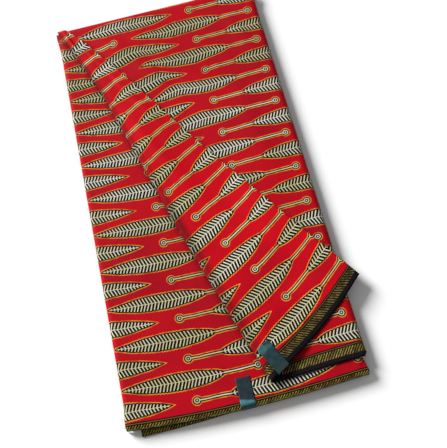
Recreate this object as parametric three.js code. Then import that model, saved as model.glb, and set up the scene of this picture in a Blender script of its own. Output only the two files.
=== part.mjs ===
import * as THREE from 'three';

// A six-yard length of wax print cotton, folded in half across its width and then into a flat
// packet of panels, with the top panel's free front corner turned back over itself.
// Millimetres. X runs across the packet, Y along it with the selvedge end at -Y, Z is up.

// ---- Driving dimensions ----
const PANEL_HALF_WIDTH = 145;      // centre line to the left fold
const RIGHT_AT_BACK = 141;         // centre line to the right folds, at the mid-fold end
const RIGHT_AT_FRONT = 146;        // the same at the selvedge end
const BACK_Y = 292;                // mid-fold end
const FRONT_CENTRE_Y = -290.5;     // where the cloth starts to roll down over the front, middle
const FRONT_BOW = 7.5;             // how far that line runs back towards both sides
const WALL = 1.2;                  // two plies of cotton lying together
const GAP = 0.3;                   // clearance between two layers
const STACK_HEIGHT = 12.6;
const ROLL_CENTRE_Z = 7.8;         // height of the axis that the edges round over
const CORNER_RADIUS = 8;

// ---- The top panel and its turned corner ----
const TOP_LEFT_X = -148;           // its back left corner, before the corner is turned
const TOP_SKEW = THREE.MathUtils.degToRad(1);
const TOP_LENGTH = 572;            // mid-fold to selvedge
const TOP_WIDTH_TO_ROLL = 282.2;   // cut end to the start of the right fold's roll
const TOP_ROLL_LENGTH = 10;
const FOLD_START = 11;             // along the mid-fold, from the corner to the turned fold
const FOLD_END = 171.8;            // along the selvedge, from the corner to the turned fold
const GATHER = 0.029;              // share of the cut end taken up in gathers at the apex
const FLAP_REACH = 160;            // from the turned fold to the flap's far corner
const SETTLE = 85;                 // distance over which the turned cloth comes to rest
const WARP_REACH = 130;            // distance over which the bowed fold line fades out
const CORNER_DROOP = 1.6;

// ---- The tape tabs ----
const TAPE_WIDTH = 18;
const TAPE_WALL = 1.0;
const FRONT_TAPE_LENGTH = 44;
const FLAP_TAPE_LENGTH = 39;
const FRONT_TAPE_X = 1;            // middle of the tab on the under panel's edge
const FLAP_TAPE_ACROSS = 140;      // middle of the tab on the flap, from the cut end

const STACK_LAYER_TOP = STACK_HEIGHT - ROLL_CENTRE_Z;
const UNDER_Z = STACK_HEIGHT + GAP + WALL / 2;
const TOP_Z = UNDER_Z + WALL + GAP;
const UNDER_RADIUS = UNDER_Z - ROLL_CENTRE_Z;
const TOP_RADIUS = TOP_Z - ROLL_CENTRE_Z;
const LEFT_ROLL_X = -PANEL_HALF_WIDTH + UNDER_RADIUS + WALL / 2;
const FULL_TURN = THREE.MathUtils.degToRad(80);
const END_TURN = THREE.MathUtils.degToRad(12);
const END_DROOP = 7;               // length over which the mid-fold end droops
const END_FADE = 45;               // length over which a side roll opens out at both ends
const APRON_LENGTH = 14.2;         // cloth past the start of the front roll
const UNDER_RIGHT_RUN = 7.2;        // cloth past the start of the under panel's right roll

// Folded layers of the stack, bottom to top: how far each is set in from the packet's outline.
const LAYERS = [
  { height: 2.1, leftBack: 2.0, leftFront: 12.5, right: 0.0, frontLeft: -11.0, frontRight: 12.0, back: 2.0 },
  { height: 2.1, leftBack: 0.0, leftFront: 0.6, right: 0.4, frontLeft: 0.4, frontRight: 0.2, back: 0.0 },
  { height: 2.1, leftBack: 0.8, leftFront: 0.0, right: 0.0, frontLeft: 0.0, frontRight: 1.2, back: 0.9 },
  { height: 2.1, leftBack: 0.2, leftFront: 0.9, right: 1.0, frontLeft: 1.4, frontRight: 0.0, back: 0.2 },
  { height: 2.1, leftBack: 0.4, leftFront: 0.0, right: 0.2, frontLeft: 0.0, frontRight: 0.6, back: 1.0 },
  { height: 2.1, leftBack: 0.0, leftFront: 0.3, right: 0.0, frontLeft: 0.2, frontRight: 0.0, back: 0.4 },
];
const GROOVE = 0.8;                // depth of the groove between two folded layers

// Bow of the turned fold line: shift across the packet at each share of the way to the front.
const FOLD_BOW = [
  { along: 0.00, shift: -6.5 },
  { along: 0.09, shift: -1.0 },
  { along: 0.20, shift: 3.0 },
  { along: 0.42, shift: 0.5 },
  { along: 0.62, shift: -2.4 },
  { along: 0.80, shift: -1.6 },
  { along: 1.00, shift: 0.6 },
];

// Radius of the turned fold's roll at each share of the way from the apex to the front.
const FOLD_ROLL = [
  { along: 0.00, radius: 1.6 },
  { along: 0.20, radius: 2.6 },
  { along: 0.55, radius: 4.2 },
  { along: 1.00, radius: 3.6 },
];

// ---- Small helpers ----
function smooth(value, low, high) {
  return THREE.MathUtils.smoothstep(value, low, high);
}

// Reads a table of rows at a place between two of them, easing from one row to the next.
function readTable(table, along, key) {
  let next = table.findIndex((row) => row.along >= along);
  if (next < 0) next = table.length - 1;
  if (next === 0) next = 1;
  const before = table[next - 1];
  const after = table[next];
  const share = smooth(along, before.along, after.along);
  return THREE.MathUtils.lerp(before[key], after[key], share);
}

// Parameter values from first to last in equal steps, both ends included.
function steps(first, last, count) {
  return Array.from({ length: count + 1 }, (_, i) => first + ((last - first) * i) / count);
}

// A run of cloth that turns down over a rounded edge, then hangs straight on from there.
function bend(run, radius, fullTurn) {
  if (run <= 0) return { out: run, down: 0 };
  const turn = Math.min(run / radius, fullTurn);
  const rest = run - radius * turn;
  return {
    out: radius * Math.sin(turn) + rest * Math.cos(turn),
    down: radius * (1 - Math.cos(turn)) + rest * Math.sin(turn),
  };
}

// How far round a side roll turns: fully along the packet, less at its two ends.
function sideTurn(y) {
  const inside = Math.min(BACK_Y - y, y - FRONT_CENTRE_Y);
  return THREE.MathUtils.lerp(END_TURN, FULL_TURN, smooth(inside, 0, END_FADE));
}

// The panels droop a little towards the mid-fold end.
function endDrop(y) {
  return Math.max(0, y - (BACK_Y - END_DROOP)) ** 2 / (5 * END_DROOP);
}

function rightEdge(y) {
  const share = (BACK_Y - y) / (BACK_Y - FRONT_CENTRE_Y);
  return THREE.MathUtils.lerp(RIGHT_AT_BACK, RIGHT_AT_FRONT, share);
}

function frontRollY(x) {
  return FRONT_CENTRE_Y + FRONT_BOW * (x / PANEL_HALF_WIDTH) ** 2;
}

// ---- Geometry builders ----
function geometryFrom(positions, triangles) {
  const geometry = new THREE.BufferGeometry();
  geometry.setAttribute('position', new THREE.Float32BufferAttribute(positions, 3));
  geometry.setIndex(triangles);
  geometry.computeVertexNormals();
  return geometry;
}

// A closed wall of even thickness on both sides of a surface given by a function.
function wall(pointAt, columns, rows, thickness) {
  const wide = columns.length;
  const deep = rows.length;
  const middle = rows.map((v) => columns.map((u) => pointAt(u, v)));
  const within = (value, count) => THREE.MathUtils.clamp(value, 0, count - 1);
  const pick = (i, j) => middle[within(j, deep)][within(i, wide)];
  const positions = [];
  for (const side of [1, -1]) {
    for (let j = 0; j < deep; j += 1) {
      for (let i = 0; i < wide; i += 1) {
        const across = pick(i + 1, j).clone().sub(pick(i - 1, j));
        const along = pick(i, j - 1).clone().sub(pick(i, j + 1));
        const normal = across.cross(along).normalize();
        const point = pick(i, j).clone().addScaledVector(normal, (side * thickness) / 2);
        positions.push(point.x, point.y, point.z);
      }
    }
  }
  const upper = (i, j) => j * wide + i;
  const lower = (i, j) => wide * deep + j * wide + i;
  const triangles = [];
  const quad = (a, b, c, d) => triangles.push(a, b, c, a, c, d);
  for (let j = 0; j < deep - 1; j += 1) {
    for (let i = 0; i < wide - 1; i += 1) {
      quad(upper(i, j), upper(i, j + 1), upper(i + 1, j + 1), upper(i + 1, j));
      quad(lower(i, j), lower(i + 1, j), lower(i + 1, j + 1), lower(i, j + 1));
    }
  }
  for (let i = 0; i < wide - 1; i += 1) {
    quad(upper(i, 0), upper(i + 1, 0), lower(i + 1, 0), lower(i, 0));
    quad(upper(i + 1, deep - 1), upper(i, deep - 1), lower(i, deep - 1), lower(i + 1, deep - 1));
  }
  for (let j = 0; j < deep - 1; j += 1) {
    quad(upper(0, j + 1), upper(0, j), lower(0, j), lower(0, j + 1));
    quad(upper(wide - 1, j), upper(wide - 1, j + 1), lower(wide - 1, j + 1), lower(wide - 1, j));
  }
  return geometryFrom(positions, triangles);
}

// ---- The stack of hidden layers ----

// Insets of the stack's outline at a height, so that the cloth above can roll over its edges.
function roundOff(z) {
  const above = Math.max(0, z - ROLL_CENTRE_Z);
  const reach = Math.sqrt(Math.max(0, STACK_LAYER_TOP ** 2 - above ** 2));
  const under = Math.max(0, 1 - z / 5);
  const belly = 4.5 * (1 - Math.sqrt(1 - under ** 2));
  const covered = z > ROLL_CENTRE_Z + 0.6;
  return {
    left: covered ? UNDER_RADIUS + WALL / 2 - reach : belly,
    right: covered ? TOP_RADIUS + WALL / 2 - reach : belly,
    back: STACK_LAYER_TOP - reach + belly,
    reach,
  };
}

// One level outline of the stack: front edge, right, back and left, with round corners.
function stackRing(z, row, inset) {
  const off = roundOff(z);
  const left = (y) => {
    const share = (BACK_Y - y) / (BACK_Y - FRONT_CENTRE_Y);
    return -PANEL_HALF_WIDTH + off.left + THREE.MathUtils.lerp(row.leftBack, row.leftFront, share) + inset;
  };
  const right = (y) => rightEdge(y) - off.right - row.right - inset;
  const back = BACK_Y - off.back - row.back - inset;
  const front = (x) => {
    const share = THREE.MathUtils.clamp((x + PANEL_HALF_WIDTH) / (2 * PANEL_HALF_WIDTH), 0, 1);
    const set = THREE.MathUtils.lerp(row.frontLeft, row.frontRight, share);
    return frontRollY(x) - off.reach + set + inset;
  };
  const rc = CORNER_RADIUS;
  const frontLeftX = left(FRONT_CENTRE_Y);
  const frontRightX = right(FRONT_CENTRE_Y);
  const backLeftX = left(back);
  const backRightX = right(back);
  const ring = [];
  const corner = (x, y, startAngle) => {
    for (const angle of steps(startAngle, startAngle + Math.PI / 2, 4)) {
      ring.push([x + rc * Math.cos(angle), y + rc * Math.sin(angle)]);
    }
  };
  for (const x of steps(frontLeftX + rc, frontRightX - rc, 10).slice(1, -1)) ring.push([x, front(x)]);
  corner(frontRightX - rc, front(frontRightX - rc) + rc, -Math.PI / 2);
  const frontY = front(frontRightX - rc) + rc;
  for (const y of steps(frontY, back - rc, 5).slice(1, -1)) ring.push([right(y), y]);
  corner(backRightX - rc, back - rc, 0);
  for (const x of steps(backRightX - rc, backLeftX + rc, 5).slice(1, -1)) ring.push([x, back]);
  corner(backLeftX + rc, back - rc, Math.PI / 2);
  const leftFrontY = front(frontLeftX + rc) + rc;
  for (const y of steps(back - rc, leftFrontY, 5).slice(1, -1)) ring.push([left(y), y]);
  corner(frontLeftX + rc, leftFrontY, Math.PI);
  return ring.map(([x, y]) => new THREE.Vector3(x, y, z));
}

// The outline shared by two neighbouring layers, which their groove is cut back from.
function innerRow(a, b) {
  const inner = {};
  for (const key of Object.keys(a)) inner[key] = Math.max(a[key], b[key]);
  return inner;
}

function stackRings() {
  const rings = [stackRing(0, LAYERS[0], GROOVE)];
  let z = 0;
  LAYERS.forEach((row, index) => {
    rings.push(stackRing(z + row.height * 0.25, row, 0.1));
    rings.push(stackRing(z + row.height * 0.75, row, 0.1));
    z += row.height;
    const above = LAYERS[index + 1] ?? row;
    rings.push(stackRing(z, innerRow(row, above), GROOVE));
  });
  return rings;
}

function stackGeometry() {
  const rings = stackRings();
  const count = rings[0].length;
  const positions = rings.flat().flatMap((p) => [p.x, p.y, p.z]);
  const triangles = [];
  for (let k = 0; k < rings.length - 1; k += 1) {
    for (let i = 0; i < count; i += 1) {
      const a = k * count + i;
      const b = k * count + ((i + 1) % count);
      triangles.push(a, b, b + count, a, b + count, a + count);
    }
  }
  const topStart = (rings.length - 1) * count;
  const bottomHub = rings.length * count;
  positions.push(0, 0, 0, 0, 0, STACK_HEIGHT);
  for (let i = 0; i < count; i += 1) {
    const next = (i + 1) % count;
    triangles.push(bottomHub, next, i);
    triangles.push(bottomHub + 1, topStart + i, topStart + next);
  }
  return geometryFrom(positions, triangles);
}

// ---- The under panel ----

// Length of the under panel, from the mid-fold to where it starts to roll down over the front.
function flatLength(across) {
  const x = THREE.MathUtils.clamp(across, -PANEL_HALF_WIDTH, PANEL_HALF_WIDTH);
  return BACK_Y - 1 - frontRollY(x);
}

// Where the under panel starts to roll down at the right, along from the mid-fold.
function underRightRoll(along) {
  return rightEdge(BACK_Y - 1 - along) - TOP_RADIUS - WALL / 2;
}

// Place of the under panel's cloth: across from its middle, and along from the mid-fold.
function underPoint(across, along) {
  const y0 = BACK_Y - 1 - along;
  const rightRollX = underRightRoll(along);
  const left = bend(LEFT_ROLL_X - across, UNDER_RADIUS, sideTurn(y0));
  const right = bend(across - rightRollX, UNDER_RADIUS, sideTurn(y0));
  let x = across;
  if (left.out > 0) x = LEFT_ROLL_X - left.out;
  if (right.out > 0) x = rightRollX + right.out;
  const front = bend(frontRollY(x) - y0, UNDER_RADIUS, Math.PI / 2);
  const y = front.out > 0 ? frontRollY(x) - front.out : y0;
  return new THREE.Vector3(x, y, UNDER_Z - left.down - right.down - front.down - endDrop(y));
}

function underGeometry() {
  // Columns run over the left fold's roll (0 to 1), the flat (1 to 2) and the right roll (2 to 3).
  const columns = [...steps(0, 1, 4), ...steps(1, 2, 10).slice(1), ...steps(2, 3, 4).slice(1)];
  const acrossTo = (column, along) => {
    const right = underRightRoll(along);
    if (column < 1) return LEFT_ROLL_X - UNDER_RADIUS * FULL_TURN * (1 - column);
    if (column < 2) return THREE.MathUtils.lerp(LEFT_ROLL_X, right, column - 1);
    return right + UNDER_RIGHT_RUN * (column - 2);
  };
  const arc = (UNDER_RADIUS * Math.PI) / 2;
  const hang = APRON_LENGTH - arc;
  // Rows run over the flat of the panel (0 to 1), its front roll (1 to 2) and its hanging edge (2 to 3).
  const rows = [...steps(0, 0.016, 3), ...steps(0.016, 1, 12).slice(1), ...steps(1, 2, 7).slice(1), 2.5, 3];
  const lengthTo = (across, row) => {
    const flat = flatLength(across);
    if (row < 1) return flat * row;
    if (row < 2) return flat + arc * (row - 1);
    return flat + arc + hang * (row - 2);
  };
  const place = (column, row) => {
    const across = acrossTo(column, Math.min(row, 1) * flatLength(0));
    return underPoint(across, lengthTo(across, row));
  };
  return wall(place, columns, rows, WALL);
}

// ---- The top panel with its turned corner ----
const FOLD_SLOPE = (FOLD_END - FOLD_START) / TOP_LENGTH;
const FOLD_ANGLE = Math.atan(FOLD_SLOPE);
const FOLD_LENGTH = TOP_LENGTH / Math.cos(FOLD_ANGLE);

function foldRadius(share) {
  return readTable(FOLD_ROLL, THREE.MathUtils.clamp(share, 0, 1), 'radius');
}

// Where cloth past the turned fold goes: back over itself, round the roll and on to rest.
function turnOver(past, radius) {
  const run = past + radius;
  if (run <= 0) return { aside: past, lift: 0, over: 0 };
  const arc = Math.PI * radius;
  if (run <= arc) {
    const turn = run / radius;
    const over = smooth(turn, Math.PI / 2, Math.PI);
    return { aside: radius * (Math.sin(turn) - 1), lift: radius * (1 - Math.cos(turn)), over };
  }
  const beyond = run - arc;
  const rest = WALL + GAP;
  const settle = 1 - smooth(beyond, 0, SETTLE);
  return { aside: -radius - beyond, lift: rest + (2 * radius - rest) * settle, over: 1 };
}

// Place of the top panel's cloth, from its cut end across and from the mid-fold along.
function topPoint(across, along) {
  const past = (FOLD_START + along * FOLD_SLOPE - across) * Math.cos(FOLD_ANGLE);
  const down = (across - FOLD_START) * Math.sin(FOLD_ANGLE) + along * Math.cos(FOLD_ANGLE);
  const share = down / FOLD_LENGTH;
  const turned = turnOver(past, foldRadius(share));
  const overlap = Math.max(0, -turned.aside);
  const gathered = down * (1 - turned.over * GATHER * Math.min(1, overlap / FLAP_REACH) ** 3);
  const fade = Math.max(0, 1 - overlap / WARP_REACH) ** 2;
  const shift = readTable(FOLD_BOW, THREE.MathUtils.clamp(gathered / FOLD_LENGTH, 0, 1), 'shift');

  const sideways = FOLD_START + gathered * Math.sin(FOLD_ANGLE) - turned.aside * Math.cos(FOLD_ANGLE);
  const forward = gathered * Math.cos(FOLD_ANGLE) + turned.aside * Math.sin(FOLD_ANGLE);
  let y = BACK_Y + sideways * Math.sin(TOP_SKEW) - forward * Math.cos(TOP_SKEW);
  y = Math.min(y, BACK_Y - 0.5 + (y - BACK_Y + 0.5) * 0.12);
  const run = turned.over > 0 ? 0 : sideways - TOP_WIDTH_TO_ROLL;
  const roll = bend(run, TOP_RADIUS, sideTurn(y));
  const s = roll.out > 0 ? TOP_WIDTH_TO_ROLL + roll.out : sideways;
  const x = TOP_LEFT_X + s * Math.cos(TOP_SKEW) + forward * Math.sin(TOP_SKEW) + shift * fade;
  const droop = turned.over * CORNER_DROOP * smooth(s, TOP_WIDTH_TO_ROLL + 8, TOP_WIDTH_TO_ROLL + 34);
  return new THREE.Vector3(x, y, TOP_Z + turned.lift - roll.down - endDrop(y) - droop);
}

// Columns follow the turned fold: even steps on the flap, round the roll and to the right edge.
function topAcross(column, along) {
  const fold = FOLD_START + along * FOLD_SLOPE;
  const radius = foldRadius(along / TOP_LENGTH) / Math.cos(FOLD_ANGLE);
  const rollFrom = fold - (Math.PI - 1) * radius;
  const rollTo = fold + radius;
  if (column < 1) return rollFrom * column;
  if (column < 2) return THREE.MathUtils.lerp(rollFrom, rollTo, column - 1);
  if (column < 3) return THREE.MathUtils.lerp(rollTo, TOP_WIDTH_TO_ROLL, column - 2);
  return TOP_WIDTH_TO_ROLL + TOP_ROLL_LENGTH * (column - 3);
}

function topGeometry() {
  const columns = [
    ...steps(0, 1, 10),
    ...steps(1, 2, 8).slice(1),
    ...steps(2, 3, 12).slice(1),
    ...steps(3, 4, 4).slice(1),
  ];
  const rows = [...steps(0, 9, 3), ...steps(9, TOP_LENGTH, 29).slice(1)];
  return wall((column, along) => topPoint(topAcross(column, along), along), columns, rows, WALL);
}

// ---- Tape tabs folded round the selvedge edge ----

// A tape that lies on a cloth surface, runs to its edge and turns round it.
function tape(surface, acrossMiddle, edge, length, onTop, wrap) {
  const side = onTop ? 1 : -1;
  const off = WALL / 2 + GAP + TAPE_WALL / 2;
  const place = (across, run) => {
    const along = Math.min(run, edge);
    const here = surface(across, along);
    const ahead = here.clone().sub(surface(across, along - 1)).normalize();
    const aside = surface(across + 1, along).sub(surface(across - 1, along)).normalize();
    const normal = ahead.clone().cross(aside).multiplyScalar(side);
    const turn = Math.max(0, run - edge) / off;
    return here
      .addScaledVector(normal, off * Math.cos(turn))
      .addScaledVector(ahead, off * Math.sin(turn));
  };
  const columns = steps(acrossMiddle - TAPE_WIDTH / 2, acrossMiddle + TAPE_WIDTH / 2, 4);
  const wrapped = steps(edge, edge + wrap * off, 6);
  const rows = [...steps(edge - length, edge, 14), ...wrapped.slice(1)];
  return wall(place, columns, rows, TAPE_WALL);
}

function frontTapeGeometry() {
  const edge = flatLength(FRONT_TAPE_X) + APRON_LENGTH;
  return tape(underPoint, FRONT_TAPE_X, edge, FRONT_TAPE_LENGTH, true, Math.PI * 0.12);
}

function flapTapeGeometry() {
  return tape(topPoint, FLAP_TAPE_ACROSS, TOP_LENGTH, FLAP_TAPE_LENGTH, false, Math.PI * 0.8);
}

// ---- The scene graph ----
function cloth(color, roughness) {
  return new THREE.MeshStandardMaterial({ color, roughness, metalness: 0 });
}

function named(name, geometry, material) {
  const mesh = new THREE.Mesh(geometry, material);
  mesh.name = name;
  return mesh;
}

const group = new THREE.Group();
group.add(named('cloth_stack', stackGeometry(), cloth(0x8e1420, 0.75)));
group.add(named('under_panel', underGeometry(), cloth(0xb3142a, 0.7)));
group.add(named('top_panel', topGeometry(), cloth(0xc80f23, 0.7)));
group.add(named('front_tape', frontTapeGeometry(), cloth(0x233c46, 0.35)));
group.add(named('flap_tape', flapTapeGeometry(), cloth(0x233c46, 0.35)));

// The origin lies under the middle of the whole packet, on the surface that it rests on.
const bounds = new THREE.Box3().setFromObject(group);
const centre = bounds.getCenter(new THREE.Vector3());
group.position.set(-centre.x, -centre.y, -bounds.min.z);

export default group;
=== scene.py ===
"""A six-yard wax print cloth folded into a flat packet, with one corner of its top panel turned back.

Metres. The packet's own frame has its panels' middle at the origin, X across, the selvedge end at -Y
and Z up. Every layer is one stretch of the same cloth, laid to the packet's outline from its sizes.
"""
import logging
import math
import random
from dataclasses import dataclass, field
from enum import Enum
from typing import Dict, List, Optional, Sequence, Tuple, Union

import bmesh
import bpy
from mathutils import Matrix, Vector


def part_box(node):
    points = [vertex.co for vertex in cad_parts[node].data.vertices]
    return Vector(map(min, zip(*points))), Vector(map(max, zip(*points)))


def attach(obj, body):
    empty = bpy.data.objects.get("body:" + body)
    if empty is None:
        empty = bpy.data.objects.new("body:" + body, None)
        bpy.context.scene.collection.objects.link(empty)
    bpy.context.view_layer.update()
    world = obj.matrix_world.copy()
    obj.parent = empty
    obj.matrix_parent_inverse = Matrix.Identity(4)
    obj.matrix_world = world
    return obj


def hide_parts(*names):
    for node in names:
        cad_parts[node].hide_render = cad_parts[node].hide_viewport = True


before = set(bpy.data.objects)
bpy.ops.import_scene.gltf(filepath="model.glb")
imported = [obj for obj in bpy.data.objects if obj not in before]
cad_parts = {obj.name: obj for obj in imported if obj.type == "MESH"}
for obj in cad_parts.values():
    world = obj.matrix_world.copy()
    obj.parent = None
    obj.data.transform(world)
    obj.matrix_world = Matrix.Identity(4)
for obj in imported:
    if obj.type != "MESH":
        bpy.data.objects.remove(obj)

LOG = logging.getLogger("packet")
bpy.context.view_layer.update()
CLOTH_MAP = "cloth"
SHADE_LAYER = "shade"
# A Mix node's sockets for colours: the one underneath, the one on top, and the result.
MIX_BELOW, MIX_ABOVE, MIX_RESULT = 6, 7, 2
Colour = Tuple[float, float, float, float]
Steps = List[float]


class Face(Enum):
    """The side of a panel that a tape lies on."""

    PRINTED = 1.0
    TURNED = -1.0


# ---- Small helpers ----
def lerp(start: float, end: float, share: float) -> float:
    """Go a share of the way from start to end."""
    return start + (end - start) * share


def limit(value: float, low: float = 0.0, high: float = 1.0) -> float:
    """Hold a value between two limits."""
    return min(high, max(low, value))


def ease(value: float, low: float, high: float) -> float:
    """Ease from 0 at low to 1 at high."""
    share = limit((value - low) / (high - low))
    return share * share * (3.0 - 2.0 * share)


def steps(first: float, last: float, count: int) -> Steps:
    """Equal steps from first to last, both ends included."""
    return [lerp(first, last, index / count) for index in range(count + 1)]


def joined(*runs: Steps) -> Steps:
    """Join runs of steps that each start where the last one ended.

    Args:
        runs: The runs, in order.

    Returns:
        One run, with each shared step once.
    """
    whole = list(runs[0])
    for run in runs[1:]:
        whole.extend(run[1:])
    return whole


def stepped(stops: Sequence[float], counts: Sequence[int]) -> Steps:
    """Steps from stop to stop, with a count for each stretch between two."""
    return joined(*(steps(low, high, count) for low, high, count in zip(stops, stops[1:], counts)))


def read_table(rows: Sequence[Tuple[float, float]], place: float) -> float:
    """Read a table between two of its rows.

    Args:
        rows: Pairs of place and value, in order.
        place: Where to read, within the table's places.

    Returns:
        The value there, eased from one row to the next.
    """
    place = limit(place, rows[0][0], rows[-1][0])
    for (before, low), (after, high) in zip(rows, rows[1:]):
        if place <= after:
            return lerp(low, high, ease(place, before, after))
    return rows[-1][1]


def bend(run: float, radius: float, full_turn: float) -> Tuple[float, float]:
    """Turn a run of cloth down over a rounded edge, from where it hangs straight on.

    Args:
        run: Length of cloth past the start of the edge, negative before it.
        radius: The edge's radius.
        full_turn: The angle that the cloth turns through at most.

    Returns:
        How far the cloth has gone outwards and downwards.
    """
    if run <= 0.0:
        return run, 0.0
    turn = min(run / radius, full_turn)
    rest = run - radius * turn
    out = radius * math.sin(turn) + rest * math.cos(turn)
    down = radius * (1.0 - math.cos(turn)) + rest * math.sin(turn)
    return out, down


def linear(level: int) -> float:
    """Turn a screen level of 0 to 255 into a linear one of 0 to 1."""
    share = level / 255.0
    return share / 12.92 if share <= 0.04045 else ((share + 0.055) / 1.055) ** 2.4


def colour(red: int, green: int, blue: int) -> Colour:
    """Turn a screen colour of 0 to 255 into a linear one."""
    return linear(red), linear(green), linear(blue), 1.0


# ---- Shader wiring ----
Number = Union["Signal", float]


class Signal:
    """A number that varies over a surface, carried by a socket. Python's operators add its Math nodes."""

    def __init__(self, wiring: "Wiring", socket: bpy.types.NodeSocket) -> None:
        """Keep the socket and the wiring that it belongs to."""
        self.wiring = wiring
        self.socket = socket

    def math(self, operation: str, *values: Number) -> "Signal":
        """Add one Math node, with its inputs in order, and take its result."""
        inputs = dict(enumerate(values))
        return self.wiring.signal("ShaderNodeMath", {"operation": operation}, inputs)

    def __add__(self, other: Number) -> "Signal":
        """Add."""
        return self.math("ADD", self, other)

    def __radd__(self, other: float) -> "Signal":
        """Add to a number."""
        return self.math("ADD", other, self)

    def __sub__(self, other: Number) -> "Signal":
        """Subtract."""
        return self.math("SUBTRACT", self, other)

    def __rsub__(self, other: float) -> "Signal":
        """Subtract from a number."""
        return self.math("SUBTRACT", other, self)

    def __mul__(self, other: Number) -> "Signal":
        """Multiply."""
        return self.math("MULTIPLY", self, other)

    def __rmul__(self, other: float) -> "Signal":
        """Multiply a number."""
        return self.math("MULTIPLY", other, self)

    def __truediv__(self, other: Number) -> "Signal":
        """Divide."""
        return self.math("DIVIDE", self, other)

    def __rtruediv__(self, other: float) -> "Signal":
        """Divide a number."""
        return self.math("DIVIDE", other, self)

    def __pow__(self, power: float) -> "Signal":
        """Raise to a power."""
        return self.math("POWER", self, power)

    def __rpow__(self, base: float) -> "Signal":
        """Raise a number to this power."""
        return self.math("POWER", base, self)

    def __abs__(self) -> "Signal":
        """Drop the sign."""
        return self.math("ABSOLUTE", self)

    def least(self, other: Number) -> "Signal":
        """Take the smaller of the two."""
        return self.math("MINIMUM", self, other)

    def most(self, other: Number) -> "Signal":
        """Take the larger of the two."""
        return self.math("MAXIMUM", self, other)

    def floor(self) -> "Signal":
        """Round down."""
        return self.math("FLOOR", self)

    def part(self) -> "Signal":
        """Keep what is past the whole number."""
        return self.math("FRACT", self)

    def wave(self) -> "Signal":
        """Take the sine."""
        return self.math("SINE", self)

    def held(self) -> "Signal":
        """Hold between 0 and 1."""
        return self.most(0.0).least(1.0)

    def edge(self, at: float, softness: float) -> "Signal":
        """Rise softly from 0 to 1, with the middle of the rise at a value and the softness as its width."""
        inputs = {"Value": self, "From Min": at - softness / 2.0, "From Max": at + softness / 2.0}
        return self.wiring.signal("ShaderNodeMapRange", {"interpolation_type": "SMOOTHSTEP"}, inputs)


Input = Union[Signal, bpy.types.NodeSocket, float, Sequence[float]]


class Wiring:
    """The nodes of one material, around its Principled shader."""

    def __init__(self, name: str) -> None:
        """Start a material.

        Args:
            name: The material's name.
        """
        self.material = bpy.data.materials.new(name)
        self.material.use_nodes = True
        self.tree = self.material.node_tree
        self.shader = self.tree.nodes["Principled BSDF"]

    def node(self, kind: str, settings: Dict[str, object], inputs: Dict[object, Input]) -> bpy.types.Node:
        """Add one node.

        Args:
            kind: The node's type.
            settings: Its settings, which are set first.
            inputs: The values or links of its sockets, by name or place.

        Returns:
            The node.
        """
        node = self.tree.nodes.new(kind)
        for name, value in settings.items():
            setattr(node, name, value)
        self.feed(node, inputs)
        return node

    def feed(self, node: bpy.types.Node, inputs: Dict[object, Input]) -> None:
        """Link a node's sockets, or set them to plain values.

        Args:
            node: The node.
            inputs: The values or links of its sockets, by name or place.
        """
        for key, value in inputs.items():
            if isinstance(value, Signal):
                self.tree.links.new(value.socket, node.inputs[key])
            elif isinstance(value, bpy.types.NodeSocket):
                self.tree.links.new(value, node.inputs[key])
            else:
                node.inputs[key].default_value = value

    def signal(self, kind: str, settings: Dict[str, object], inputs: Dict[object, Input],
               output: object = 0) -> Signal:
        """Add one node, and take the number that it gives at one output, by name or place."""
        return Signal(self, self.node(kind, settings, inputs).outputs[output])

    def cloth_places(self) -> Tuple[Signal, Signal]:
        """Read the cloth map.

        Returns:
            How far along the cloth a point lies, and how far in from its selvedge.
        """
        place = self.node("ShaderNodeUVMap", {"uv_map": CLOTH_MAP}, {})
        split = self.node("ShaderNodeSeparateXYZ", {}, {0: place.outputs[0]})
        return Signal(self, split.outputs[0]), Signal(self, split.outputs[1])

    def noise(self, along: Number, inward: Number, scale: float, detail: float = 2.0) -> Signal:
        """Add soft noise over the cloth.

        Args:
            along: Place along the cloth.
            inward: Place in from its selvedge.
            scale: Noise cells in a metre.
            detail: Finer levels.

        Returns:
            The noise, around 0.5.
        """
        place = self.node("ShaderNodeCombineXYZ", {}, {0: along, 1: inward})
        inputs = {"Vector": place.outputs[0], "Scale": scale, "Detail": detail}
        return self.signal("ShaderNodeTexNoise", {"noise_dimensions": "2D"}, inputs)

    def blend(self, share: Number, below: Input, above: Input) -> bpy.types.NodeSocket:
        """Lay a share of the colour above over the colour below, and give the mixed colour's socket."""
        inputs = {"Factor": share, MIX_BELOW: below, MIX_ABOVE: above}
        return self.node("ShaderNodeMix", {"data_type": "RGBA"}, inputs).outputs[MIX_RESULT]

    def relief(self, height: Signal, depth: float, strength: float) -> bpy.types.NodeSocket:
        """Turn a height of 0 to 1 into a bumped normal of that depth in metres."""
        inputs = {"Height": height, "Distance": depth, "Strength": strength}
        return self.node("ShaderNodeBump", {}, inputs).outputs[0]


@dataclass(frozen=True)
class Mottle:
    """Soft patches over the cloth: their cells in a metre, and the level and the softness of their edges."""

    cells: float
    level: float
    softness: float
    detail: float = 2.0

    def over(self, wiring: Wiring, along: Signal, inward: Signal) -> Signal:
        """Spread the patches over the cloth, from 0 between them to 1 on them."""
        return wiring.noise(along, inward, self.cells, self.detail).edge(self.level, self.softness)


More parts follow.
